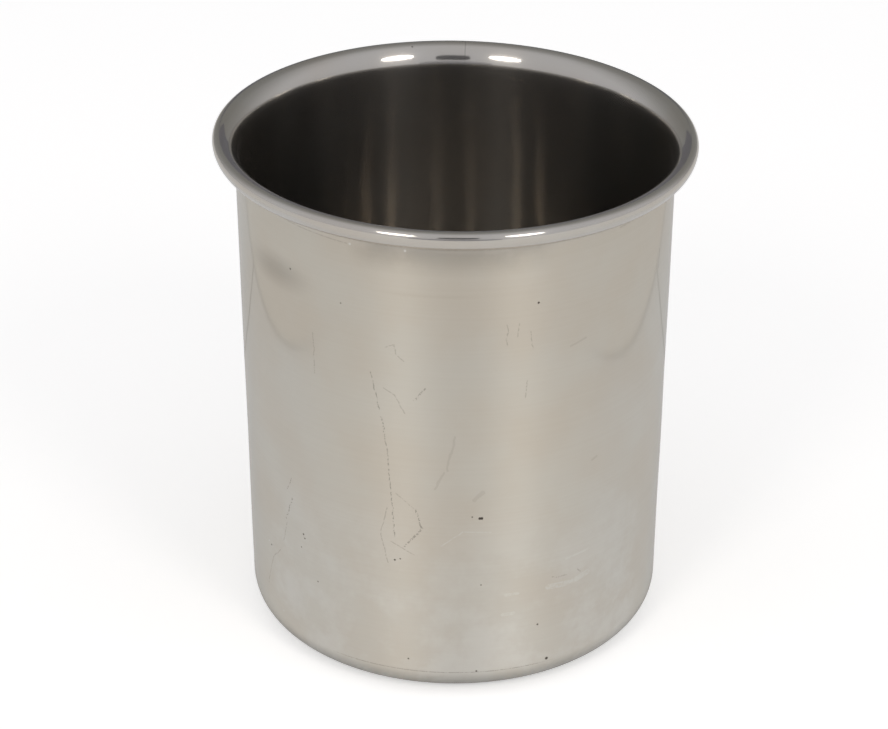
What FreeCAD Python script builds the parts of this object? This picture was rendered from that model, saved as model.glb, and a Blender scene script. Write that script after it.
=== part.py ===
"""Deep drawn metal cup: one sheet with a flat floor, a tapered wall, a flared lip and a curled edge.

Millimetres. The origin is the centre of the underside and +Z is the axis of the cup. The half section is the
line of one sheet of even thickness: a corner bend at the floor, then a wall, then five bends that all turn
outwards, which open the wall, carry it over the crest of the lip and roll its edge under.
"""

import FreeCAD
import Part

import math
import os

# Driving dimensions. Each bend radius is that of the bend's hollow side, and each turn is in degrees.
sheet = 0.8             # thickness of the drawn sheet
total_height = 125.8    # from the underside to the crest of the lip
mouth_radius = 52.0     # outside of the wall at its top, where the flare starts
draft = 0.7             # degrees that the wall leans outwards
corner_bend = 6.8       # bend between floor and wall
flare_bend = 5.4        # gentle bend that opens the wall
lip_bend = 2.4          # tighter bend from the flare up to the crest
lip_turn = 37.0
shoulder_bend = 0.75    # curl, from the crest out to its widest point
shoulder_turn = 90.0
skirt_bend = 2.6        # curl, the long outer side
skirt_turn = 60.0
hem_bend = 0.7          # curl, the underside that tucks the free edge in
hem_turn = 118.0

AXIS = FreeCAD.Vector(0, 0, 1)
UNDERSIDE = FreeCAD.Vector(0, 0, 0)
CREST_ANGLE = 90.0      # a face of the sheet lies this way from the bend's centre where the sheet is level
FULL_TURN = 360.0


def polar(centre, radius, degrees):
    """Point of the half section that lies at an angle from a bend's centre."""
    angle = math.radians(degrees)
    return centre + FreeCAD.Vector(radius * math.cos(angle), 0, radius * math.sin(angle))


def arc(centre, radius, start, end):
    """Edge of the half section: an arc about a centre between two angles."""
    points = [polar(centre, radius, degrees) for degrees in (start, (start + end) / 2, end)]
    return Part.Arc(*points).toShape()


def line(start, end):
    """Edge of the half section: a straight run."""
    return Part.LineSegment(start, end).toShape()


def curl_bends():
    """The five outward bends from the wall to the free edge, each as (centre, radius, start angle, end angle)."""
    flare_end = CREST_ANGLE + lip_turn
    skirt_start = CREST_ANGLE - shoulder_turn
    skirt_end = skirt_start - skirt_turn
    flare_height = total_height - sheet - lip_bend - (flare_bend - lip_bend) * math.sin(math.radians(flare_end))
    flare_radius = mouth_radius + flare_bend * math.cos(math.radians(draft))
    flare = FreeCAD.Vector(flare_radius, 0, flare_height)
    lip = polar(flare, flare_bend - lip_bend, flare_end)
    shoulder = polar(lip, lip_bend - shoulder_bend, CREST_ANGLE)
    skirt = polar(shoulder, shoulder_bend - skirt_bend, skirt_start)
    hem = polar(skirt, skirt_bend - hem_bend, skirt_end)
    return [
        (flare, flare_bend, 180 - draft, flare_end),
        (lip, lip_bend, flare_end, CREST_ANGLE),
        (shoulder, shoulder_bend, CREST_ANGLE, skirt_start),
        (skirt, skirt_bend, skirt_start, skirt_end),
        (hem, hem_bend, skirt_end, skirt_end - hem_turn),
    ]


def corner_centre(wall_top):
    """Centre of the corner bend, placed so that its outer face runs on into the wall that ends at wall_top."""
    lean = math.radians(draft)
    outer = corner_bend + sheet
    wall_foot_height = outer * (1 - math.sin(lean))
    wall_foot_radius = wall_top.x - (wall_top.z - wall_foot_height) * math.tan(lean)
    return FreeCAD.Vector(wall_foot_radius - outer * math.cos(lean), 0, outer)


def sheet_face(bends, floor_height):
    """Edges of one face of the sheet from the axis to the free edge.

    The outer face of the cup has the floor at height 0 and the inner face has it one sheet higher. The inner
    face is nearer the centre of the corner bend, and further from the centres of the bends of the lip.
    """
    first_centre, first_radius, first_start, _ = bends[0]
    corner = corner_centre(polar(first_centre, first_radius, first_start))
    corner_radius = corner_bend + sheet - floor_height
    floor_edge = polar(corner, corner_radius, -90)
    wall_foot = polar(corner, corner_radius, -draft)
    wall_top = polar(first_centre, first_radius + floor_height, first_start)
    edges = [
        line(FreeCAD.Vector(0, 0, floor_height), floor_edge),
        arc(corner, corner_radius, -90, -draft),
        line(wall_foot, wall_top),
    ]
    return edges + [arc(centre, radius + floor_height, start, end) for centre, radius, start, end in bends]


def drawn_cup():
    """The whole cup as one solid: the half section of the sheet turned about the axis."""
    bends = curl_bends()
    outer_face = sheet_face(bends, 0.0)
    inner_face = sheet_face(bends, sheet)
    hem, hem_radius, _, hem_end = bends[-1]
    free_edge = line(polar(hem, hem_radius, hem_end), polar(hem, hem_radius + sheet, hem_end))
    on_axis = line(UNDERSIDE, FreeCAD.Vector(0, 0, sheet))
    edges = outer_face + [free_edge] + inner_face + [on_axis]
    section = Part.Face(Part.Wire(Part.__sortEdges__(edges)))
    return section.revolve(UNDERSIDE, AXIS, FULL_TURN)


def main():
    """Build the cup and write it as the one node of the part."""
    cup = drawn_cup()
    print("valid", cup.isValid(), "solids", len(cup.Solids), "volume mm3", round(cup.Volume, 1))
    print("box mm", cup.BoundBox)
    os.makedirs("parts", exist_ok=True)
    cup.exportStep("parts/drawn_cup.step")


main()
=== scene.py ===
"""Looks of the deep drawn steel cup: its sheet as one closed surface, the polished steel, and a plain studio.

Metres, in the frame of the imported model: the origin is the centre of the underside and +Z is the axis. An
azimuth is in degrees round the cup, 0 at the front (-Y) and growing towards +X. Sizes of the sheet are
written in millimetres, as a tool drawing has them, and turn into metres where the mesh is made.
"""

import logging
import math
from dataclasses import dataclass
from enum import Enum
from functools import reduce

import bpy
import numpy as np
from mathutils import Matrix, Vector


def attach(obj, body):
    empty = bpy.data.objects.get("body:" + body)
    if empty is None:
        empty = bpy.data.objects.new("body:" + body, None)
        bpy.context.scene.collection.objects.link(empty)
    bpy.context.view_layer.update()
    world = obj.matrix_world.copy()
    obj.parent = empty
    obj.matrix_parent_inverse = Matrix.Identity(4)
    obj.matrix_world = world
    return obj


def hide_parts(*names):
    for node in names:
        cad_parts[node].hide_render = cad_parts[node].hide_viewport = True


MM = 0.001
NODE_NAME = "drawn_cup"
BODY_NAME = "root"
UV_NAME = "round_and_along"

log = logging.getLogger("cup")
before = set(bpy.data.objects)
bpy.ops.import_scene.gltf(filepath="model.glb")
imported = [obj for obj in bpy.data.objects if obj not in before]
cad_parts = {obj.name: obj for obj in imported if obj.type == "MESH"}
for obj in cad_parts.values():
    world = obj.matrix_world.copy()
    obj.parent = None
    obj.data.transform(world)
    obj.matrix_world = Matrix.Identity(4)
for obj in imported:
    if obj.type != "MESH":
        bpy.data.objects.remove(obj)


# ----------------------------------------------------------------------------------------------- the sheet

@dataclass(frozen=True)
class Bend:
    """One arc of the half section, seen from its centre, in millimetres and degrees.

    The sheet's two faces are arcs about the same centre, one sheet apart.
    """

    centre: tuple[float, float]
    radius: float
    start: float
    end: float

    def points(self, offset: float, steps: int) -> np.ndarray:
        """Points of one face of the bend.

        The formula is the circle's: centre + radius * (cos angle, sin angle).

        Args:
            offset: how far this face is beyond the bend's hollow side.
            steps: number of steps the arc is cut into.

        Returns:
            Array of steps + 1 rows of (radius from the axis, height).
        """
        angle = np.radians(np.linspace(self.start, self.end, steps + 1))
        reach = self.radius + offset
        across, up = self.centre
        return np.stack([across + reach * np.cos(angle), up + reach * np.sin(angle)], axis=1)


@dataclass(frozen=True)
class Cut:
    """How finely one face of the sheet is cut."""

    floor: int                  # rings on the flat floor
    corner: int                 # steps of the corner bend
    wall: int                   # rings on the wall between its two bends
    rim: tuple[int, ...]        # steps of each of the five bends of the rim


@dataclass(frozen=True)
class SheetSection:
    """Half section of the cup: floor, corner bend, tapered wall, flare, lip and the curled edge."""

    sheet: float = 0.8
    total_height: float = 125.8
    mouth_radius: float = 52.0
    draft: float = 0.7
    corner_bend: float = 6.8
    flare_bend: float = 5.4
    lip_bend: float = 2.4
    lip_turn: float = 37.0
    shoulder_bend: float = 0.75
    skirt_bend: float = 2.6
    skirt_turn: float = 60.0
    hem_bend: float = 0.7
    hem_turn: float = 118.0

    def bends(self) -> list[Bend]:
        """Works out the five bends from the wall to the free edge.

        Each centre lies on the line from the one before through the point where the two arcs meet, so that
        the sheet runs on without a kink.

        Returns:
            Flare, lip, shoulder, skirt and hem.
        """
        def onwards(centre: tuple[float, float], reach: float, degrees: float) -> tuple[float, float]:
            """Point at a distance and angle from a centre."""
            angle = math.radians(degrees)
            return centre[0] + reach * math.cos(angle), centre[1] + reach * math.sin(angle)

        flare_end = 90.0 + self.lip_turn
        rise = (self.flare_bend - self.lip_bend) * math.sin(math.radians(flare_end))
        flare = (self.mouth_radius + self.flare_bend * math.cos(math.radians(self.draft)),
                 self.total_height - self.sheet - self.lip_bend - rise)
        lip = onwards(flare, self.flare_bend - self.lip_bend, flare_end)
        shoulder = onwards(lip, self.lip_bend - self.shoulder_bend, 90.0)
        skirt = onwards(shoulder, self.shoulder_bend - self.skirt_bend, 0.0)
        hem = onwards(skirt, self.skirt_bend - self.hem_bend, -self.skirt_turn)
        return [
            Bend(flare, self.flare_bend, 180.0 - self.draft, flare_end),
            Bend(lip, self.lip_bend, flare_end, 90.0),
            Bend(shoulder, self.shoulder_bend, 90.0, 0.0),
            Bend(skirt, self.skirt_bend, 0.0, -self.skirt_turn),
            Bend(hem, self.hem_bend, -self.skirt_turn, -self.skirt_turn - self.hem_turn),
        ]

    def corner(self) -> Bend:
        """Works out the corner bend between floor and wall.

        Returns:
            The bend, placed so that its outer face runs on into the wall.
        """
        lean = math.radians(self.draft)
        outer = self.corner_bend + self.sheet
        flare = self.bends()[0]
        wall_top_height = flare.centre[1] + self.flare_bend * math.sin(lean)
        wall_top_radius = flare.centre[0] - self.flare_bend * math.cos(lean)
        foot_height = outer * (1.0 - math.sin(lean))
        foot_radius = wall_top_radius - (wall_top_height - foot_height) * math.tan(lean)
        return Bend((foot_radius - outer * math.cos(lean), outer), self.corner_bend, -90.0, -self.draft)

    def face(self, height: float, cut: Cut) -> np.ndarray:
        """Lays out one face of the sheet from near the axis to the free edge.

        Floor and wall are straight runs cut evenly, and the bends are arcs.

        Args:
            height: 0 for the outer face of the cup, one sheet for the inner face.
            cut: how finely it is cut.

        Returns:
            Array of (radius, height) rows, with no row repeated.
        """
        corner = self.corner()
        bend = corner.points(self.sheet - height, cut.corner)
        floor = np.linspace((0.0, height), bend[0], cut.floor + 1)[1:-1]
        rim = [arc.points(height, steps) for arc, steps in zip(self.bends(), cut.rim)]
        wall = np.linspace(bend[-1], rim[0][0], cut.wall + 2)[1:-1]
        return np.concatenate([floor, bend, wall, rim[0]] + [arc[1:] for arc in rim[1:]])


@dataclass(frozen=True)
class Ripple:
    """One wave of the wall: a cosine round the cup times a cosine up it."""

    lobes: int              # waves round the cup
    phase_round: float      # radians
    phase_up: float         # radians
    pitch: float            # millimetres up the wall to each wave
    share: float            # of the whole waviness


@dataclass(frozen=True)
class HandMade:
    """Small departures of a real drawn cup from a true turned shape, in millimetres."""

    rim_slope: float = -0.0112      # the rim is trimmed a little out of square: rise per millimetre along X
    slope_from: float = 40.0        # height where the slope starts to come in
    slope_full: float = 112.0       # height where it is full
    wave: float = 0.05              # radial waviness left in the wall by drawing
    wave_full: float = 14.0         # height by which the waviness has grown from none at the floor
    wave_end: float = 124.0         # height where it is gone again
    wave_fade: float = 12.0         # stretch over which it goes
    ripples: tuple[Ripple, ...] = (
        Ripple(3, 0.4, 0.68, 61.0, 0.9),
        Ripple(5, 2.1, 3.57, 47.0, 0.5),
        Ripple(8, 4.0, 6.8, 35.0, 0.32),
        Ripple(13, 5.2, 8.84, 29.0, 0.18),
    )

    def shift(self, azimuth: np.ndarray, radius: np.ndarray,
              height: np.ndarray) -> tuple[np.ndarray, np.ndarray]:
        """Moves points of the true shape to where the real sheet has them.

        The rise is slope * x, faded in up the wall by a smooth step. The radial part is a sum of products of
        a cosine round the cup and a cosine up the wall, which fades out at the floor and at the rim.

        Args:
            azimuth: angle round the axis in radians.
            radius: radius from the axis.
            height: height above the underside.

        Returns:
            The moved radius and height.
        """
        fade = np.clip((height - self.slope_from) / (self.slope_full - self.slope_from), 0.0, 1.0)
        rise = self.rim_slope * radius * np.sin(azimuth) * fade * fade * (3.0 - 2.0 * fade)
        body = np.clip(height / self.wave_full, 0.0, 1.0)
        body = body * np.clip((self.wave_end - height) / self.wave_fade, 0.0, 1.0)
        waves = sum(ripple.share * np.cos(ripple.lobes * azimuth + ripple.phase_round)
                    * np.cos(2.0 * np.pi * height / ripple.pitch + ripple.phase_up)
                    for ripple in self.ripples)
        return radius + self.wave * waves * body, height + rise


@dataclass(frozen=True)
class DrawnCup:
    """The cup itself: one sheet, closed, with its two faces and the free edge of the curl."""

    section: SheetSection = SheetSection()
    hand: HandMade = HandMade()
    outer_cut: Cut = Cut(7, 14, 36, (6, 3, 4, 4, 5))
    inner_cut: Cut = Cut(7, 10, 25, (12, 10, 12, 10, 10))
    turns: int = 480                # steps round the cup
    seam: float = 135.0             # azimuth where the map starts
    marked_azimuth: float = 78.0    # degrees from the front within which the wall carries marks
    marked_heights: tuple[float, float] = (2.0, 121.0)

    def outline(self) -> tuple[np.ndarray, int]:
        """Joins both faces of the sheet to one line, from the underside round the free edge to the inside.

        Returns:
            Rows of (radius, height), and the row where the free edge starts.
        """
        outside = self.section.face(0.0, self.outer_cut)
        inside = self.section.face(self.section.sheet, self.inner_cut)
        return np.concatenate([outside, inside[::-1]]), len(outside) - 1

    def length(self) -> float:
        """Length of the whole outline, from the underside's centre to the inner floor's, in millimetres."""
        line, _ = self.outline()
        return float(line[0, 0] + np.hypot(*np.diff(line, axis=0).T).sum() + line[-1, 0])

    def build(self) -> bpy.types.Object:
        """Carries the outline round the axis, closes it at the two poles of the floor and lays the map.

        Returns:
            The cup, with its place in its mesh.
        """
        line, edge_row = self.outline()
        row, column = np.meshgrid(np.arange(len(line) - 1), np.arange(self.turns), indexing="ij")
        quads, closing = self._faces(row, column)
        mesh = self._mesh(self._points(line), quads, closing)
        self._share_out(mesh, line, edge_row, row, column)
        self._map(mesh, line, row, column)
        self._smooth(mesh, edge_row)
        cup = bpy.data.objects.new("cup", mesh)
        bpy.context.scene.collection.objects.link(cup)
        return cup

    def _azimuths(self) -> np.ndarray:
        """Azimuth of each column of the grid, in radians."""
        return np.radians(self.seam) + np.linspace(0.0, 2.0 * np.pi, self.turns, endpoint=False)

    def _points(self, line: np.ndarray) -> np.ndarray:
        """Turns the outline about the axis.

        Row i and column j of the grid hold (radius_i * sin azimuth_j, -radius_i * cos azimuth_j, height_i).

        Args:
            line: the outline.

        Returns:
            Points of the grid row by row, then the poles of the underside and the inner floor, in metres.
        """
        turn, radius = np.meshgrid(self._azimuths(), line[:, 0])
        height = np.repeat(line[:, 1:2], self.turns, axis=1)
        radius, height = self.hand.shift(turn, radius, height)
        grid = np.stack([radius * np.sin(turn), -radius * np.cos(turn), height], axis=2).reshape(-1, 3)
        return np.concatenate([grid, [(0.0, 0.0, 0.0), (0.0, 0.0, self.section.sheet)]]) * MM

    def _faces(self, row: np.ndarray, column: np.ndarray) -> tuple[np.ndarray, np.ndarray]:
        """Numbers the corners of the faces.

        Args:
            row: grid row of each four-sided face.
            column: its grid column.

        Returns:
            The four-sided faces, and the three-sided ones round the poles: the underside's, then the inner
            floor's.
        """
        here = row * self.turns + column
        beside = row * self.turns + (column + 1) % self.turns
        quads = np.stack([here, beside, beside + self.turns, here + self.turns], axis=2).reshape(-1, 4)
        first = np.arange(self.turns)
        second = (first + 1) % self.turns
        last = len(row) * self.turns
        pole = last + self.turns
        under = np.stack([second, first, np.full(self.turns, pole)], axis=1)
        inner = np.stack([last + first, last + second, np.full(self.turns, pole + 1)], axis=1)
        return quads, np.concatenate([under, inner])

    def _mesh(self, points: np.ndarray, quads: np.ndarray, closing: np.ndarray) -> bpy.types.Mesh:
        """Puts points and faces into a mesh.

        Args:
            points: places in metres.
            quads: the four-sided faces.
            closing: the three-sided faces round the poles.

        Returns:
            The closed mesh.
        """
        loops = np.concatenate([quads.ravel(), closing.ravel()])
        sizes = np.concatenate([np.full(len(quads), 4), np.full(len(closing), 3)])
        starts = np.concatenate([[0], np.cumsum(sizes)[:-1]])
        mesh = bpy.data.meshes.new("cup")
        mesh.vertices.add(len(points))
        mesh.vertices.foreach_set("co", points.astype(np.float32).ravel())
        mesh.loops.add(len(loops))
        mesh.loops.foreach_set("vertex_index", loops.astype(np.int32))
        mesh.polygons.add(len(sizes))
        mesh.polygons.foreach_set("loop_start", starts.astype(np.int32))
        mesh.update(calc_edges=True)
        mesh.validate()
        return mesh

    def _share_out(self, mesh: bpy.types.Mesh, line: np.ndarray, edge_row: int, row: np.ndarray,
                   column: np.ndarray) -> None:
        """Gives the front of the outer wall the marked steel and all the rest the plain one.

        Args:
            mesh: the closed mesh.
            line: the outline.
            edge_row: row of the outline where the free edge starts.
            row: grid row of each four-sided face.
            column: its grid column.
        """
        lowest, highest = self.marked_heights
        front = np.cos(self._azimuths()[column]) > math.cos(math.radians(self.marked_azimuth))
        wall = (row < edge_row) & (line[row, 1] > lowest) & (line[row, 1] < highest)
        marked = np.zeros(len(mesh.polygons), dtype=np.int32)
        marked[:row.size] = (front & wall).ravel()
        mesh.polygons.foreach_set("material_index", marked)

    def _map(self, mesh: bpy.types.Mesh, line: np.ndarray, row: np.ndarray, column: np.ndarray) -> None:
        """Lays the map: u = turns round the cup, v = length along the outline over its whole length.

        Args:
            mesh: the closed mesh.
            line: the outline.
            row: grid row of each four-sided face.
            column: its grid column.
        """
        length = np.concatenate([[line[0, 0]], line[0, 0] + np.cumsum(np.hypot(*np.diff(line, axis=0).T))])
        whole = length[-1] + line[-1, 0]
        u = np.stack([column, column + 1, column + 1, column], axis=2).reshape(-1) / self.turns
        v = length[np.stack([row, row, row + 1, row + 1], axis=2).reshape(-1)] / whole
        step = 1.0 / self.turns
        first = np.arange(self.turns) / self.turns
        start = np.full(self.turns, length[0] / whole)
        end = np.full(self.turns, length[-1] / whole)
        middle = first + step / 2
        under = np.stack([first + step, start, first, start, middle, np.zeros(self.turns)], axis=1)
        inner = np.stack([first, end, first + step, end, middle, np.ones(self.turns)], axis=1)
        flat = np.concatenate([np.stack([u, v], axis=1).ravel(), under.ravel(), inner.ravel()])
        mesh.uv_layers.new(name=UV_NAME).data.foreach_set("uv", flat.astype(np.float32))

    def _smooth(self, mesh: bpy.types.Mesh, edge_row: int) -> None:
        """Shades the faces smooth and keeps the two rims of the free edge sharp.

        Args:
            mesh: the closed mesh.
            edge_row: row of the outline where the free edge starts.
        """
        mesh.polygons.foreach_set("use_smooth", np.ones(len(mesh.polygons), dtype=bool))
        ends = np.empty(len(mesh.edges) * 2, dtype=np.int32)
        mesh.edges.foreach_get("vertices", ends)
        rows = ends.reshape(-1, 2) // self.turns
        sharp = (rows[:, 0] == rows[:, 1]) & np.isin(rows[:, 0], (edge_row, edge_row + 1))
        layer = mesh.attributes.get("sharp_edge") or mesh.attributes.new("sharp_edge", "BOOLEAN", "EDGE")
        layer.data.foreach_set("value", sharp)
        mesh.update()


# ----------------------------------------------------------------------------------------------- finishes

Socket = bpy.types.NodeSocket
Colour = tuple[float, float, float, float]
Span = tuple[float, float]
Window = tuple[float, float, float]     # lowest, highest and the width of its soft ends

WALL_SCALE = 0.9            # millimetres round the wall for each degree
NOISE_REACH = (0.3, 0.7)    # smooth noise keeps nearly all its values between these
FAR = 99.0                  # millimetres: further than any mark


class Bench:
    """A node tree being built, with short names for the nodes that the finishes are made of.

    A node is made after the ones that feed it. The renderer works them out in that order, and it has room for
    only so many values that wait to be used: in another order a large finish renders black.
    """

    def __init__(self, tree: bpy.types.NodeTree) -> None:
        """Takes an empty tree.

        Args:
            tree: the node tree of a material or a world.
        """
        self.tree = tree

    def feed(self, socket: Socket, value: Socket | float | tuple[float, ...]) -> None:
        """Links a socket, or sets its constant."""
        if isinstance(value, bpy.types.NodeSocket):
            self.tree.links.new(value, socket)
        else:
            socket.default_value = value

    def math(self, operation: str, a: Socket | float, b: Socket | float = 0.0) -> Socket:
        """One Math node.

        Args:
            operation: its name in Blender.
            a: first value.
            b: second value.

        Returns:
            The result.
        """
        node = self.tree.nodes.new("ShaderNodeMath")
        node.operation = operation
        self.feed(node.inputs[0], a)
        self.feed(node.inputs[1], b)
        return node.outputs[0]

    def product(self, *values: Socket | float) -> Socket:
        """All the values multiplied."""
        return reduce(lambda so_far, value: self.math("MULTIPLY", so_far, value), values)

    def total(self, *values: Socket | float) -> Socket:
        """All the values added."""
        return reduce(lambda so_far, value: self.math("ADD", so_far, value), values)

    def highest(self, *values: Socket | float) -> Socket:
        """The highest of the values."""
        return reduce(lambda so_far, value: self.math("MAXIMUM", so_far, value), values)

    def vector(self, operation: str, a: Socket | tuple, b: Socket | tuple, output: str = "Vector") -> Socket:
        """One Vector Math node.

        Args:
            operation: its name in Blender.
            a: first vector.
            b: second vector.
            output: which of its outputs is wanted, Vector or Value.

        Returns:
            The result.
        """
        node = self.tree.nodes.new("ShaderNodeVectorMath")
        node.operation = operation
        self.feed(node.inputs[0], a)
        self.feed(node.inputs[1], b)
        return node.outputs[output]

    def distance(self, a: Socket, b: Socket | tuple) -> Socket:
        """Distance between two points."""
        return self.vector("DISTANCE", a, b, "Value")

    def dot(self, a: Socket, b: Socket | tuple) -> Socket:
        """Dot product of two vectors."""
        return self.vector("DOT_PRODUCT", a, b, "Value")

    def clamp(self, value: Socket) -> Socket:
        """The value, kept between 0 and 1."""
        node = self.tree.nodes.new("ShaderNodeClamp")
        self.feed(node.inputs["Value"], value)
        return node.outputs[0]

    def point(self, x: Socket | float, y: Socket | float, z: Socket | float = 0.0) -> Socket:
        """Vector from three values."""
        node = self.tree.nodes.new("ShaderNodeCombineXYZ")
        for socket, value in zip(node.inputs, (x, y, z)):
            self.feed(socket, value)
        return node.outputs[0]

    def split(self, vector: Socket) -> tuple[Socket, Socket, Socket]:
        """The three values of a vector."""
        node = self.tree.nodes.new("ShaderNodeSeparateXYZ")
        self.feed(node.inputs[0], vector)
        return node.outputs[0], node.outputs[1], node.outputs[2]

    def noise(self, vector: Socket, scale: float, detail: float = 3.0, rough: float = 0.5) -> Socket:
        """Smooth noise from 0 to 1, about 0.5 on average."""
        node = self.tree.nodes.new("ShaderNodeTexNoise")
        self.feed(node.inputs["Vector"], vector)
        node.inputs["Scale"].default_value = scale
        node.inputs["Detail"].default_value = detail
        node.inputs["Roughness"].default_value = rough
        return node.outputs[0]

    def step(self, value: Socket, low: float, high: float, bottom: float = 0.0, top: float = 1.0) -> Socket:
        """Smooth step between two values, clamped outside them.

        Args:
            value: what is compared.
            low: where the step starts.
            high: where it ends, which may be below low for a falling step.
            bottom: result before the step.
            top: result after it.

        Returns:
            The stepped value.
        """
        node = self.tree.nodes.new("ShaderNodeMapRange")
        node.interpolation_type = "SMOOTHSTEP"
        self.feed(node.inputs["Value"], value)
        rising = low < high
        ends = (low, high, bottom, top) if rising else (high, low, top, bottom)
        for name, number in zip(("From Min", "From Max", "To Min", "To Max"), ends):
            node.inputs[name].default_value = number
        return node.outputs["Result"]

    def window(self, value: Socket, low: float, high: float, soft: float) -> Socket:
        """1 between two values and 0 outside, with soft ends inside the window."""
        return self.product(self.step(value, low, low + soft), self.step(value, high, high - soft))

    def colour(self, share: Socket | float, under: Socket | Colour, over: Socket | Colour) -> Socket:
        """Lays one colour over another.

        Args:
            share: how much of the upper colour.
            under: colour below.
            over: colour above.

        Returns:
            The colour.
        """
        node = self.tree.nodes.new("ShaderNodeMix")
        node.data_type = "RGBA"
        sockets = [s for s in node.inputs if s.enabled]
        for socket, value in zip(sockets, (share, under, over)):
            self.feed(socket, value)
        return next(s for s in node.outputs if s.enabled)

    def sunk(self, share: Socket, depth: float) -> Socket:
        """Normal of a face that is sunk by a depth in millimetres where the share is 1."""
        height = self.product(share, -depth)
        bump = self.tree.nodes.new("ShaderNodeBump")
        bump.inputs["Strength"].default_value = 1.0
        bump.inputs["Distance"].default_value = MM
        self.feed(bump.inputs["Height"], height)
        return bump.outputs[0]


@dataclass(frozen=True)
class Mark:
    """A scratch or a scuff: a run of straight strokes on the wall, through points (azimuth, height in mm)."""

    points: tuple[tuple[float, float], ...]
    half_width: float = 0.06      # millimetres


@dataclass(frozen=True)
class Pit:
    """A small dent or a speck on the wall."""

    azimuth: float
    height: float
    radius: float = 0.22          # millimetres


DOTTED_SCRATCHES = (
    Mark(((-22.0, 87.0), (-19.0, 75.0), (-17.5, 65.5), (-16.0, 44.0)), 0.09),
    Mark(((-10.5, 52.0), (-8.5, 47.0), (-13.5, 41.5)), 0.15),
    Mark(((-10.5, 81.0), (-7.5, 84.5)), 0.15),
    Mark(((-49.0, 45.0), (-52.5, 37.5)), 0.15),
    Mark(((-49.0, 50.5), (-51.5, 46.5))),
)
THIN_SCRATCHES = (
    Mark(((-18.5, 83.5), (-15.5, 82.0), (-13.0, 77.5))),
    Mark(((-15.5, 56.0), (-10.5, 52.0))),
    Mark(((-17.0, 42.5), (-10.5, 39.5))),
    Mark(((-18.0, 51.5), (-20.0, 44.0), (-18.0, 36.5))),
    Mark(((-18.0, 94.0), (-15.5, 95.0), (-15.0, 92.5), (-13.0, 91.0))),
    Mark(((-39.0, 93.0), (-39.0, 82.5))),
    Mark(((-52.0, 37.0), (-54.0, 31.0))),
    Mark(((-56.0, 27.5), (-60.5, 23.0), (-64.0, 14.0))),
    Mark(((13.0, 100.5), (13.0, 95.0))),
    Mark(((16.0, 100.5), (15.5, 97.0))),
    Mark(((19.0, 98.0), (19.5, 93.5))),
    Mark(((18.5, 85.5), (18.0, 81.0))),
    Mark(((27.0, 30.5), (29.0, 30.0), (31.5, 30.0)), 0.10),
    Mark(((35.0, 30.5), (36.0, 29.5)), 0.10),
    Mark(((-60.0, 119.5), (-44.0, 119.0), (-28.0, 118.5))),
    Mark(((45.5, 118.0), (62.0, 118.5))),
)
SOFT_RUBS = (
    Mark(((0.0, 72.0), (-2.0, 63.0)), 0.20),
    Mark(((-3.0, 62.5), (-5.0, 58.0)), 0.20),
    Mark(((7.0, 57.0), (5.0, 55.0)), 0.45),
    Mark(((30.5, 92.0), (35.0, 93.0)), 0.20),
    Mark(((38.5, 59.5), (40.5, 60.0)), 0.25),
    Mark(((66.0, 105.0), (66.0, 100.5)), 0.35),
)
WIPED_STREAKS = (
    Mark(((31.0, 34.5), (38.5, 35.0)), 0.20),
    Mark(((33.5, 27.5), (38.5, 28.5)), 0.70),
    Mark(((26.0, 28.0), (32.0, 27.5)), 0.70),
    Mark(((13.5, 28.0), (17.0, 28.0)), 0.30),
    Mark(((13.0, 22.5), (16.0, 22.5)), 0.40),
    Mark(((-3.5, 42.5), (2.0, 46.5), (9.5, 46.0)), 0.10),
)
DARK_PITS = (
    Pit(4.5, 50.5, 0.14), Pit(6.5, 50.0, 0.32), Pit(7.0, 50.0, 0.32), Pit(26.0, 7.5, 0.34),
    Pit(6.0, 7.0, 0.20), Pit(-12.5, 10.0, 0.16), Pit(7.0, 31.5, 0.14), Pit(23.0, 18.0, 0.20),
    Pit(-16.0, 37.5, 0.20), Pit(-14.5, 38.0, 0.14), Pit(-45.0, 36.5, 0.20), Pit(-44.5, 35.5, 0.18),
    Pit(-46.0, 32.5, 0.14), Pit(21.0, 105.0, 0.22), Pit(-30.0, 103.0, 0.12), Pit(-40.0, 25.0, 0.16),
    Pit(-46.5, 107.0, 0.18), Pit(-61.0, 26.5, 0.20),
)
BRIGHT_SPECKS = (
    Pit(-27.0, 118.5, 0.25), Pit(-12.5, 119.0, 0.25), Pit(-55.5, 10.0, 0.16), Pit(-62.5, 27.0, 0.20),
)


@dataclass(frozen=True)
class Spot:
    """Where on the cup a finish is being worked out, as sockets of its node tree."""

    place: Socket       # the cup's own coordinates, in metres
    height: Socket      # above the underside, in millimetres
    azimuth: Socket     # degrees
    flat: Socket        # on the unrolled wall: millimetres round it and up it
    along: Socket       # length along the outline, in millimetres

    @classmethod
    def find(cls, bench: Bench, length: float) -> "Spot":
        """Works the place out from Object coordinates and the map.

        Args:
            bench: node tree.
            length: length of the cup's outline in millimetres, which the map's v spans.

        Returns:
            The spot.
        """
        place = bench.tree.nodes.new("ShaderNodeTexCoord").outputs["Object"]
        x, y, z = bench.split(place)
        azimuth = bench.product(bench.math("ARCTAN2", x, bench.product(y, -1.0)), math.degrees(1.0))
        height = bench.product(z, 1.0 / MM)
        laid = bench.tree.nodes.new("ShaderNodeUVMap")
        laid.uv_map = UV_NAME
        _, share, _ = bench.split(laid.outputs[0])
        flat = bench.point(bench.product(azimuth, WALL_SCALE), height)
        return cls(place, height, azimuth, flat, bench.product(share, length))


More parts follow.
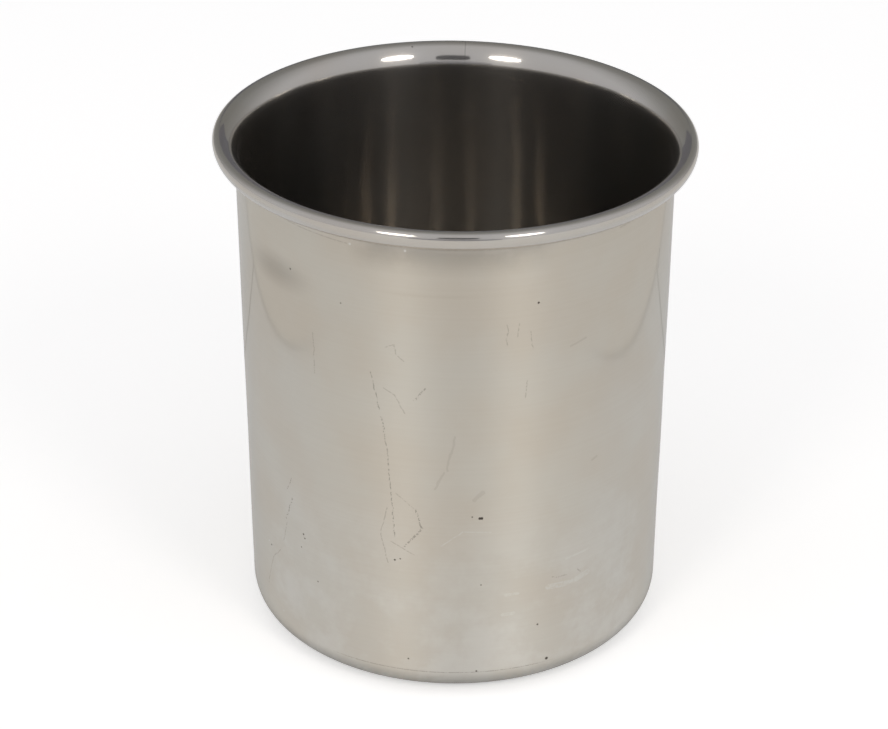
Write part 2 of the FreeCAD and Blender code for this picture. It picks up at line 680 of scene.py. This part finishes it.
@dataclass(frozen=True)
class Handling:
    """Broad marks on the front of the wall, and a band of painted shade under the curl.

    Azimuths are in degrees and heights in millimetres.
    """

    patches: float = 70.0                       # scale of the patches, to the metre
    film_patches: Span = (0.40, 0.64)           # values of the patches' noise over which the film thickens
    film_azimuth: Window = (-66.0, 66.0, 11.0)
    film_heights: Span = (66.0, 12.0)           # none above the first, all of it below the second
    film_share: Span = (0.05, 0.42)             # thinnest and thickest
    band_patches: Span = (0.40, 0.60)
    band_azimuth: Window = (-29.0, 27.0, 9.0)   # painted shade: the darker band under the curl
    band_heights: Span = (112.0, 118.5)
    band_shade: Span = (0.11, 0.22)
    ring_azimuth: Window = (-22.0, 8.0, 10.0)   # a faint ring below it
    ring_heights: Window = (107.2, 108.8, 0.8)
    ring_dulling: float = 0.03
    smudge_squeeze: tuple[float, float, float] = (0.38, 1.0, 1.0)       # makes it longer than it is high
    smudge_centre: tuple[float, float, float] = (-18.0, 104.8, 0.0)     # on the wall as squeezed
    smudge_radii: Span = (5.6, 0.4)             # none beyond the first, all of it within the second
    smudge_dulling: float = 0.20

    def draw(self, bench: Bench, spot: Spot) -> tuple[Socket, Socket]:
        """Pale film low on the wall, a band of painted shade under the curl and its ring, and the grey smudge
        beside them.

        Args:
            bench: node tree.
            spot: where on the cup.

        Returns:
            How much of the film lies here, and what the wall's tone is multiplied by: painted shade under the
            curl, the ring and the smudge.
        """
        patches = bench.noise(spot.place, self.patches, detail=4.0, rough=0.6)
        film = bench.product(bench.step(patches, *self.film_patches, *self.film_share),
                             bench.step(spot.height, *self.film_heights),
                             bench.window(spot.azimuth, *self.film_azimuth))
        # painted shade under the curl, in patches
        shade_and_smudge = bench.product(bench.window(spot.azimuth, *self.band_azimuth),
                             bench.step(spot.height, *self.band_heights),
                             bench.step(patches, *self.band_patches, *self.band_shade))
        ring = bench.product(bench.window(spot.height, *self.ring_heights),
                             bench.window(spot.azimuth, *self.ring_azimuth))
        away = bench.distance(bench.vector("MULTIPLY", spot.flat, self.smudge_squeeze), self.smudge_centre)
        smudge = bench.product(bench.step(away, *self.smudge_radii), self.smudge_dulling)
        shade_and_smudge = bench.total(shade_and_smudge, smudge, bench.product(ring, self.ring_dulling))
        return film, bench.math("SUBTRACT", 1.0, shade_and_smudge)


@dataclass(frozen=True)
class Scratching:
    """Fine marks on the front of the wall.

    A darkness or brightness is how far a mark covers the steel. Breaks are the values of a noise over which a
    stroke goes from missing to whole.
    """

    stray_scale: float = 420.0              # scale of the noise that strokes stray by, to the metre
    stray: float = 1.2                      # millimetres over which they stray sideways
    break_scale: float = 2300.0             # scale of the noise that breaks strokes up, to the metre
    dotted_breaks: Span = (0.47, 0.56)
    dotted_darkness: float = 0.42
    thin_breaks: Span = (0.34, 0.54)
    thin_darkness: float = 0.24
    rub_darkness: float = 0.10
    pit_darkness: float = 0.95
    wiped_scale: float = 1.1                # scale of the noise in wiped streaks, to the millimetre
    wiped_breaks: Span = (0.35, 0.6)
    wiped_brightness: Span = (0.10, 0.36)   # where a streak is faint, and where it is strong
    speck_brightness: float = 0.7
    line_azimuth: Window = (-38.0, 30.0, 9.0)       # the line that the drawing die left near the floor
    line_heights: Window = (6.5, 6.9, 0.15)
    line_breaks: Span = (0.40, 0.56)
    line_faintest: float = 0.3              # share of its darkness that the line keeps in a break
    line_darkness: float = 0.34
    stroke_edge: float = 0.13               # millimetres over which a stroke's side fades
    pit_edge: Span = (0.12, -0.05)          # millimetres past its radius: where a pit starts and is full

    def draw(self, bench: Bench, spot: Spot) -> tuple[Socket, Socket]:
        """Draws scratches, rubs, pits, wiped streaks, specks and the die's line.

        Args:
            bench: node tree.
            spot: where on the cup.

        Returns:
            How dark and how bright the marks are, each from 0 to 1.
        """
        aside = bench.math("SUBTRACT", bench.noise(spot.place, self.stray_scale, detail=2.0), 0.5)
        worn = bench.vector("ADD", spot.flat, bench.point(bench.product(aside, self.stray), 0.0))
        broken = bench.noise(spot.place, self.break_scale, detail=1.0)
        patchy = bench.noise(spot.flat, self.wiped_scale)
        dark = bench.highest(
            bench.product(self._strokes(bench, worn, DOTTED_SCRATCHES),
                          bench.step(broken, *self.dotted_breaks), self.dotted_darkness),
            bench.product(self._strokes(bench, worn, THIN_SCRATCHES),
                          bench.step(broken, *self.thin_breaks), self.thin_darkness),
            bench.product(self._strokes(bench, worn, SOFT_RUBS), self.rub_darkness),
            bench.product(self._pits(bench, spot.flat, DARK_PITS), self.pit_darkness),
            bench.product(bench.window(spot.height, *self.line_heights),
                          bench.window(spot.azimuth, *self.line_azimuth),
                          bench.step(broken, *self.line_breaks, self.line_faintest, 1.0),
                          self.line_darkness))
        bright = bench.highest(
            bench.product(self._strokes(bench, worn, WIPED_STREAKS),
                          bench.step(patchy, *self.wiped_breaks, *self.wiped_brightness)),
            bench.product(self._pits(bench, spot.flat, BRIGHT_SPECKS), self.speck_brightness))
        return dark, bright

    def _strokes(self, bench: Bench, flat: Socket, marks: tuple[Mark, ...]) -> Socket:
        """Draws marks by the distance to each of their strokes.

        For a stroke from a to b the nearest point is a + (b - a) * t, where t is the share of (p - a) along
        (b - a), kept between 0 and 1.

        Args:
            bench: node tree.
            flat: place on the unrolled wall, in millimetres.
            marks: what is drawn.

        Returns:
            1 on a mark and 0 off it.
        """
        nearest: Socket | float = FAR
        for mark in marks:
            ends = [(degrees * WALL_SCALE, height, 0.0) for degrees, height in mark.points]
            for start, end in zip(ends, ends[1:]):
                way = tuple(b - a for a, b in zip(start, end))
                squared = sum(w * w for w in way)
                offset = bench.vector("SUBTRACT", flat, start)
                share = bench.clamp(bench.dot(offset, tuple(w / squared for w in way)))
                along = bench.vector("MULTIPLY", way, bench.point(share, share))
                gap = bench.math("SUBTRACT", bench.distance(offset, along), mark.half_width)
                nearest = bench.math("MINIMUM", gap, nearest)
        return bench.step(nearest, self.stroke_edge, 0.0)

    def _pits(self, bench: Bench, flat: Socket, pits: tuple[Pit, ...]) -> Socket:
        """Draws pits or specks by the distance to each centre: 1 in one and 0 off it."""
        nearest: Socket | float = FAR
        for pit in pits:
            gap = bench.distance(flat, (pit.azimuth * WALL_SCALE, pit.height, 0.0))
            nearest = bench.math("MINIMUM", bench.math("SUBTRACT", gap, pit.radius), nearest)
        return bench.step(nearest, *self.pit_edge)


@dataclass(frozen=True)
class RimMarks:
    """A hairline across the lip at the back, and one pit near it, placed by azimuth and along the outline."""

    hairline_azimuth: Window = (177.1, 177.4, 0.1)
    hairline_starts: Span = (186.0, 187.5)
    hairline_ends: Span = (197.5, 195.5)
    hairline_darkness: float = 0.28
    pit_azimuth: float = -168.5
    pit_along: float = 191.2
    pit_radii: Span = (0.32, 0.12)          # none beyond the first, all of it within the second
    pit_darkness: float = 0.6

    def draw(self, bench: Bench, spot: Spot) -> Socket:
        """Draws both.

        Args:
            bench: node tree.
            spot: where on the cup.

        Returns:
            How dark the marks are, from 0 to 1.
        """
        hairline = bench.product(bench.window(spot.azimuth, *self.hairline_azimuth),
                                 bench.step(spot.along, *self.hairline_starts),
                                 bench.step(spot.along, *self.hairline_ends), self.hairline_darkness)
        round_and_along = bench.point(bench.product(spot.azimuth, WALL_SCALE), spot.along)
        away = bench.distance(round_and_along, (self.pit_azimuth * WALL_SCALE, self.pit_along, 0.0))
        return bench.highest(hairline, bench.product(bench.step(away, *self.pit_radii), self.pit_darkness))


@dataclass(frozen=True)
class Polish:
    """How one zone of the sheet is polished."""

    ground: float       # roughness of the bright ground
    share: float        # share of the fine lines that run round the cup
    lines: float        # their roughness


class PolishValue(Enum):
    """Which value of a zone's polish is wanted."""

    GROUND = "ground"
    SHARE = "share"
    LINES = "lines"


@dataclass(frozen=True)
class DrawnSteel:
    """Stainless steel as the polishing wheel left it: fine lines round the cup, clouds and handling marks,
    and
    painted light and shade: a lighter outer wall, and a darker foot, upper wall and band under the curl.

    Zones and tones are placed by length along the outline in millimetres, from the underside's centre up the
    outer wall, over the rim and down inside. A pair of places says where a change starts and where it ends.
    """

    name: str = "drawn_steel"
    # painted light: the outer wall is painted lighter than the same steel on the rim and inside
    lit_wall_colour: Colour = (0.703, 0.664, 0.592, 1.0)
    rim_colour: Colour = (0.592, 0.566, 0.530, 1.0)
    film: Colour = (0.83, 0.82, 0.79, 1.0)
    bared: Colour = (0.86, 0.85, 0.82, 1.0)         # streaks and specks that were wiped or rubbed bright
    dirt: Colour = (0.10, 0.085, 0.07, 1.0)
    wall: Polish = Polish(0.05, 0.50, 0.56)
    rim: Polish = Polish(0.09, 0.22, 0.30)
    inner: Polish = Polish(0.13, 0.05, 0.42)
    rim_from: Span = (165.0, 169.5)
    inner_from: Span = (194.0, 200.0)
    line_anisotropy: float = 0.93
    ground_anisotropy: float = 1.0
    anisotropy_turn: float = 0.25                   # a quarter turn: the gloss is drawn out up the wall
    line_pitch: float = 0.55                        # millimetres between the broader polishing lines
    line_stretch: float = 9.0                       # scale of the lines round the cup, to the metre
    line_tone: Span = (0.997, 1.003)
    line_share: Span = (-0.003, 0.003)
    clouds: float = 48.0                            # scale of the clouds, to the metre
    cloud_tone: Span = (0.975, 1.025)
    cloud_warmth: Span = (0.016, -0.012)
    foot: Span = (49.0, 54.3)                       # painted shade: the corner bend is painted darker and cooler than the wall
    foot_shade: float = 0.87
    foot_shade_warmth: float = -0.02
    # painted shade: the wall is painted a little darker towards the top
    upper_wall: Span = (105.0, 150.0)
    upper_shade: float = 0.96
    film_share: float = 0.06                        # what a full film adds to the share of the lines
    mark_depth: float = 0.04                        # millimetres

    def material(self, length: float, marked: bool) -> bpy.types.Material:
        """Builds the finish.

        Args:
            length: length of the cup's outline in millimetres, which the map's v spans.
            marked: whether this part of the cup carries the wall's marks. If not, it carries the rim's.

        Returns:
            The material.
        """
        made = bpy.data.materials.new(self.name + ("_marked" if marked else ""))
        made.use_nodes = True
        made.node_tree.nodes.clear()
        bench = Bench(made.node_tree)
        spot = Spot.find(bench, length)
        base, share, normal = self._metal(bench, spot, marked)
        output = bench.tree.nodes.new("ShaderNodeOutputMaterial")
        both = bench.tree.nodes.new("ShaderNodeMixShader")
        lines = self._zones(bench, spot.along, PolishValue.LINES)
        ground = self._zones(bench, spot.along, PolishValue.GROUND)
        bench.feed(both.inputs[0], bench.math("SUBTRACT", 1.0, share))
        bench.feed(both.inputs[1], self._steel(bench, base, lines, normal, self.line_anisotropy))
        bench.feed(both.inputs[2], self._steel(bench, base, ground, normal, self.ground_anisotropy))
        bench.feed(output.inputs["Surface"], both.outputs[0])
        return made

    def _metal(self, bench: Bench, spot: Spot, marked: bool) -> tuple[Socket, Socket, Socket | None]:
        """Colour of the steel with painted light and shade, how much of it the fine lines cover, and its
        bumps.

        Args:
            bench: node tree.
            spot: where on the cup.
            marked: whether it carries the wall's marks.

        Returns:
            The colour, the share of the lines, and the bumped normal if there is one.
        """
        x, y, _ = bench.split(spot.place)
        run = bench.point(bench.product(x, self.line_stretch), bench.product(y, self.line_stretch),
                          bench.math("DIVIDE", spot.along, self.line_pitch))
        streaks = bench.noise(run, 1.0, rough=0.6)
        clouds = bench.noise(spot.place, self.clouds)
        # painted shade: the foot darker and cooler, and the upper wall a little darker
        tone = bench.product(bench.step(clouds, *NOISE_REACH, *self.cloud_tone),
                             bench.step(streaks, *NOISE_REACH, *self.line_tone),
                             bench.step(spot.along, *self.foot, self.foot_shade, 1.0),
                             bench.step(spot.along, *self.upper_wall, 1.0, self.upper_shade))
        warmth = bench.total(bench.step(clouds, *NOISE_REACH, *self.cloud_warmth),
                             bench.step(spot.along, *self.foot, self.foot_shade_warmth, 0.0))
        share = bench.total(self._zones(bench, spot.along, PolishValue.SHARE),
                            bench.step(streaks, *NOISE_REACH, *self.line_share))
        film: Socket | float = 0.0
        if marked:
            # the tone takes the painted shade under the curl, with the ring and the smudge
            film, shade_and_wear = Handling().draw(bench, spot)
            tone = bench.product(tone, shade_and_wear)
            share = bench.total(share, bench.product(film, self.film_share))
        tint = bench.point(bench.total(tone, warmth), tone, bench.math("SUBTRACT", tone, warmth))
        # painted light: the outer wall takes the lighter colour, the rim and the inside the plain steel
        base = bench.colour(bench.step(spot.along, *self.rim_from), self.lit_wall_colour, self.rim_colour)
        base = bench.colour(film, bench.vector("MULTIPLY", base, tint), self.film)
        if not marked:
            return bench.colour(RimMarks().draw(bench, spot), base, self.dirt), share, None
        dark, bright = Scratching().draw(bench, spot)
        base = bench.colour(dark, bench.colour(bright, base, self.bared), self.dirt)
        return base, bench.highest(share, dark), bench.sunk(dark, self.mark_depth)

    def _zones(self, bench: Bench, along: Socket, wanted: PolishValue) -> Socket:
        """Value of the polish by place: outer wall, then curl and lip, then the inside of the cup.

        Args:
            bench: node tree.
            along: length along the outline in millimetres.
            wanted: which value of the polish.

        Returns:
            The value.
        """
        wall, rim, inner = (getattr(zone, wanted.value) for zone in (self.wall, self.rim, self.inner))
        return bench.total(bench.step(along, *self.rim_from, wall, rim),
                           bench.step(along, *self.inner_from, 0.0, inner - rim))

    def _steel(self, bench: Bench, base: Socket, roughness: Socket, normal: Socket | None,
               anisotropy: float) -> Socket:
        """One polish of the steel, whose gloss is drawn out up the cup by fine lines that run round it.

        Args:
            bench: node tree.
            base: colour.
            roughness: roughness.
            normal: bumped normal, if there is one.
            anisotropy: how far the gloss is drawn out, from 0 to 1.

        Returns:
            The shader.
        """
        shader = bench.tree.nodes.new("ShaderNodeBsdfPrincipled")
        shader.inputs["Metallic"].default_value = 1.0
        shader.inputs["Anisotropic"].default_value = anisotropy
        shader.inputs["Anisotropic Rotation"].default_value = self.anisotropy_turn
        around = bench.tree.nodes.new("ShaderNodeTangent")
        around.direction_type = "RADIAL"
        around.axis = "Z"
        bench.feed(shader.inputs["Tangent"], around.outputs[0])
        bench.feed(shader.inputs["Base Color"], base)
        bench.feed(shader.inputs["Roughness"], roughness)
        if normal is not None:
            bench.feed(shader.inputs["Normal"], normal)
        return shader.outputs[0]


# ----------------------------------------------------------------------------------------------- the studio

@dataclass(frozen=True)
class Lamp:
    """A soft box that faces the cup."""

    name: str
    azimuth: float          # degrees, from the front
    elevation: float        # degrees above the table
    distance: float         # metres from the middle of the cup
    width: float
    height: float
    radiance: float         # brightness of its cloth, where 1 is white
    colour: tuple[float, float, float] = (1.0, 0.965, 0.90)
    aim: float = 0.06       # height of the cup's middle, in metres

    def place(self) -> None:
        """Makes the lamp, aimed at the middle of the cup."""
        light = bpy.data.lights.new(self.name, "AREA")
        light.shape = "ELLIPSE"
        light.size = self.width
        light.size_y = self.height
        light.color = self.colour
        light.energy = self.radiance * math.pi * self.width * self.height * math.pi / 4.0
        lamp = bpy.data.objects.new(self.name, light)
        bpy.context.scene.collection.objects.link(lamp)
        azimuth = math.radians(self.azimuth)
        elevation = math.radians(self.elevation)
        middle = Vector((0.0, 0.0, self.aim))
        level = math.cos(elevation)
        towards = Vector((math.sin(azimuth) * level, -math.cos(azimuth) * level, math.sin(elevation)))
        lamp.matrix_world = Matrix.Translation(middle + towards * self.distance) @ (
            towards.to_track_quat("Z", "Y").to_matrix().to_4x4())


@dataclass(frozen=True)
class DarkCard:
    """A dark card near the cup, out of sight, so that polished metal has something dark to show."""

    name: str
    azimuth: float          # degrees, from the front
    distance: float         # metres from the axis
    bottom: float           # metres, from the table's height
    top: float
    half_width: float
    shade: float
    blueness: float = 1.1   # blue of the shade over its red
    points: int = 48
    power: float = 4.0      # of the rounded outline, where 2 is an ellipse
    roughness: float = 0.9

    def place(self) -> None:
        """Makes the card.

        Its outline is (half width * sign(cos) * |cos|^(2/power), half height * sign(sin) * |sin|^(2/power)).
        """
        turn = np.linspace(0.0, 2.0 * np.pi, self.points, endpoint=False)
        bend = 2.0 / self.power
        across = self.half_width * np.sign(np.cos(turn)) * np.abs(np.cos(turn)) ** bend
        middle = (self.top + self.bottom) / 2.0
        rise = middle + (self.top - middle) * np.sign(np.sin(turn)) * np.abs(np.sin(turn)) ** bend
        azimuth = math.radians(self.azimuth)
        x = self.distance * math.sin(azimuth) + across * math.cos(azimuth)
        y = -self.distance * math.cos(azimuth) + across * math.sin(azimuth)
        mesh = bpy.data.meshes.new(self.name)
        mesh.from_pydata(np.stack([x, y, rise], axis=1).tolist(), [], [tuple(range(self.points))])
        card = bpy.data.objects.new(self.name, mesh)
        bpy.context.scene.collection.objects.link(card)
        made = bpy.data.materials.new(self.name)
        made.use_nodes = True
        shader = made.node_tree.nodes["Principled BSDF"]
        shader.inputs["Base Color"].default_value = (self.shade, self.shade, self.shade * self.blueness, 1.0)
        shader.inputs["Roughness"].default_value = self.roughness
        mesh.materials.append(made)
        card.visible_camera = False
        card.visible_shadow = False
        card.visible_diffuse = False


@dataclass(frozen=True)
class Table:
    """Table top: a flat square, pale and matt, which the camera sees plain.

    The steel shows more on it than the camera sees: a sheet of paper behind the cup, with painted shade
    along its two sides and one fold, and a painted shadow close round the cup's foot.
    """

    reach: float = 4.0                          # metres from the middle to each side
    roughness: float = 0.9
    specular: float = 0.1
    plain: Colour = (0.90, 0.895, 0.89, 1.0)
    bare: Colour = (0.90, 0.88, 0.845, 1.0)     # beside the paper, as the steel shows it
    paper: Colour = (0.875, 0.885, 0.90, 1.0)
    crease_shade: Colour = (0.28, 0.28, 0.27, 1.0)    # painted shade along the paper's sides and its fold
    paper_sides: Span = (-195.0, 190.0)         # millimetres, as are the rest of the paper's sizes
    paper_fold: float = 120.0
    paper_from: Span = (-110.0, -10.0)          # it comes in over this stretch and runs on behind the cup
    crease_width: float = 2.4
    foot: Span = (47.0, 58.0)                   # millimetres from the axis
    foot_shadow: float = 0.48                   # painted shadow: share of the table's tone left within the first of them
    camera_lift: float = 0.44                   # light added so that the camera sees white
    glossy_lift: float = 0.17                   # light added to what the steel shows

    def lay(self) -> None:
        """Makes the table top."""
        left, right = -self.reach, self.reach
        corners = [(left, left, 0.0), (right, left, 0.0), (right, right, 0.0), (left, right, 0.0)]
        mesh = bpy.data.meshes.new("table_top")
        mesh.from_pydata(corners, [], [(0, 1, 2, 3)])
        top = bpy.data.objects.new("table_top", mesh)
        bpy.context.scene.collection.objects.link(top)
        mesh.materials.append(self._finish())

    def _finish(self) -> bpy.types.Material:
        """Matt paint, with the paper and a painted shadow round the cup's foot where glossy rays meet it.

        Returns:
            The material.
        """
        made = bpy.data.materials.new("matt_white_table")
        made.use_nodes = True
        bench = Bench(made.node_tree)
        rays = bench.tree.nodes.new("ShaderNodeLightPath").outputs
        place = bench.tree.nodes.new("ShaderNodeTexCoord").outputs["Object"]
        from_axis = bench.distance(bench.vector("MULTIPLY", place, (1.0, 1.0, 0.0)), (0.0, 0.0, 0.0))
        # painted shadow round the cup's foot, seen by glossy rays only
        foot = bench.step(from_axis, *(edge * MM for edge in self.foot), self.foot_shadow, 1.0)
        shown = bench.vector("MULTIPLY", self._papered(bench, place), bench.point(foot, foot, foot))
        lift = bench.total(bench.product(rays["Is Camera Ray"], self.camera_lift),
                           bench.product(rays["Is Glossy Ray"], bench.product(foot, self.glossy_lift)))
        shader = bench.tree.nodes["Principled BSDF"]
        shader.inputs["Roughness"].default_value = self.roughness
        shader.inputs["Specular IOR Level"].default_value = self.specular
        shader.inputs["Emission Color"].default_value = (1.0, 1.0, 1.0, 1.0)
        bench.feed(shader.inputs["Emission Strength"], lift)
        bench.feed(shader.inputs["Base Color"], bench.colour(rays["Is Glossy Ray"], self.plain, shown))
        return made

    def _papered(self, bench: Bench, place: Socket) -> Socket:
        """Colour of the bare table with the sheet of paper on it, and painted shade along its sides and fold.

        Args:
            bench: node tree.
            place: place on the table, in metres.

        Returns:
            The colour.
        """
        x, y, _ = bench.split(place)
        left, right = (side * MM for side in self.paper_sides)
        off_middle = bench.math("ABSOLUTE", bench.math("SUBTRACT", x, (left + right) / 2.0))
        off = bench.math("SUBTRACT", off_middle, (right - left) / 2.0)
        behind = bench.step(y, *(edge * MM for edge in self.paper_from))
        paper = bench.product(bench.step(off, MM, 0.0), behind)
        fold = bench.math("ABSOLUTE", bench.math("SUBTRACT", y, self.paper_fold * MM))
        # painted shade along the paper's sides and its fold
        crease_shade = bench.math("MINIMUM", bench.math("ABSOLUTE", off), bench.highest(fold, off))
        crease_shade = bench.product(bench.step(crease_shade, self.crease_width * MM, 0.0), behind)
        return bench.colour(crease_shade, bench.colour(paper, self.bare, self.paper), self.crease_shade)


@dataclass(frozen=True)
class Room:
    """The room's light: pale overhead and in front, and dimmer low behind the cup."""

    front: Colour = (0.65, 0.65, 0.67, 1.0)
    back: Colour = (0.27, 0.27, 0.26, 1.0)
    towards_back: tuple[float, float, float] = (0.0, 0.906, 0.423)
    dims: Span = (0.2, 1.02)        # cosine of the angle to it: where the dimming starts and where it is full

    def light(self) -> None:
        """Makes the world."""
        world = bpy.data.worlds.new("pale_room")
        bpy.context.scene.world = world
        world.use_nodes = True
        bench = Bench(world.node_tree)
        towards = bench.tree.nodes.new("ShaderNodeTexCoord").outputs["Generated"]
        share = bench.step(bench.dot(towards, self.towards_back), *self.dims)
        colour = bench.colour(share, self.front, self.back)
        bench.feed(bench.tree.nodes["Background"].inputs["Color"], colour)


@dataclass(frozen=True)
class Camera:
    """The camera, which looks down on the cup from the front."""

    place: tuple[float, float, float] = (-0.0026, -0.6248, 0.3999)
    pitch: float = 28.3226      # degrees down
    roll: float = 0.1214        # degrees
    lens: float = 117.31        # millimetres
    sensor: float = 36.0        # millimetres across

    def set_up(self) -> None:
        """Makes the camera and looks through it."""
        data = bpy.data.cameras.new("camera")
        data.lens = self.lens
        data.sensor_width = self.sensor
        data.sensor_fit = "HORIZONTAL"
        camera = bpy.data.objects.new("camera", data)
        bpy.context.scene.collection.objects.link(camera)
        tip = Matrix.Rotation(math.radians(90.0 - self.pitch), 4, "X")
        lean = Matrix.Rotation(math.radians(self.roll), 4, "Z")
        camera.matrix_world = Matrix.Translation(self.place) @ tip @ lean
        bpy.context.scene.camera = camera


@dataclass(frozen=True)
class Studio:
    """Pale table, pale room, two soft boxes, three dark cards and the camera."""

    table: Table = Table()
    room: Room = Room()
    lamps: tuple[Lamp, ...] = (
        Lamp("lamp_left", -28.3, 38.0, 1.4, 0.37, 0.44, 5.6),
        Lamp("lamp_right", 34.8, 38.0, 1.4, 0.37, 0.44, 5.6))
    cards: tuple[DarkCard, ...] = (
        DarkCard("card_front", 2.0, 1.0, 0.46, 0.98, 0.17, 0.12),
        DarkCard("card_horizon", 0.0, 0.9, -0.1, 0.30, 0.33, 0.58),
        DarkCard("card_back", 180.0, 1.2, -0.6, 0.66, 0.32, 0.24))
    camera: Camera = Camera()

    def build(self) -> None:
        """Sets the colour handling, then makes table, room, lamps, cards and camera."""
        bpy.context.scene.view_settings.view_transform = "Standard"
        self.table.lay()
        self.room.light()
        for thing in self.lamps + self.cards:
            thing.place()
        self.camera.set_up()


# ----------------------------------------------------------------------------------------------- making


def main() -> None:
    """Builds the studio and the cup, and ties the cup to the frame."""
    logging.basicConfig(level=logging.INFO, format="%(name)s: %(message)s")
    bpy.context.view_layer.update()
    Studio().build()
    log.info("studio: table, room, lamps and camera")
    drawn = DrawnCup()
    cup = drawn.build()
    for marked in (False, True):
        cup.data.materials.append(DrawnSteel().material(drawn.length(), marked))
    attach(cup, BODY_NAME)
    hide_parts(NODE_NAME)
    log.info("cup: %d faces", len(cup.data.polygons))


if __name__ == "__main__":
    main()
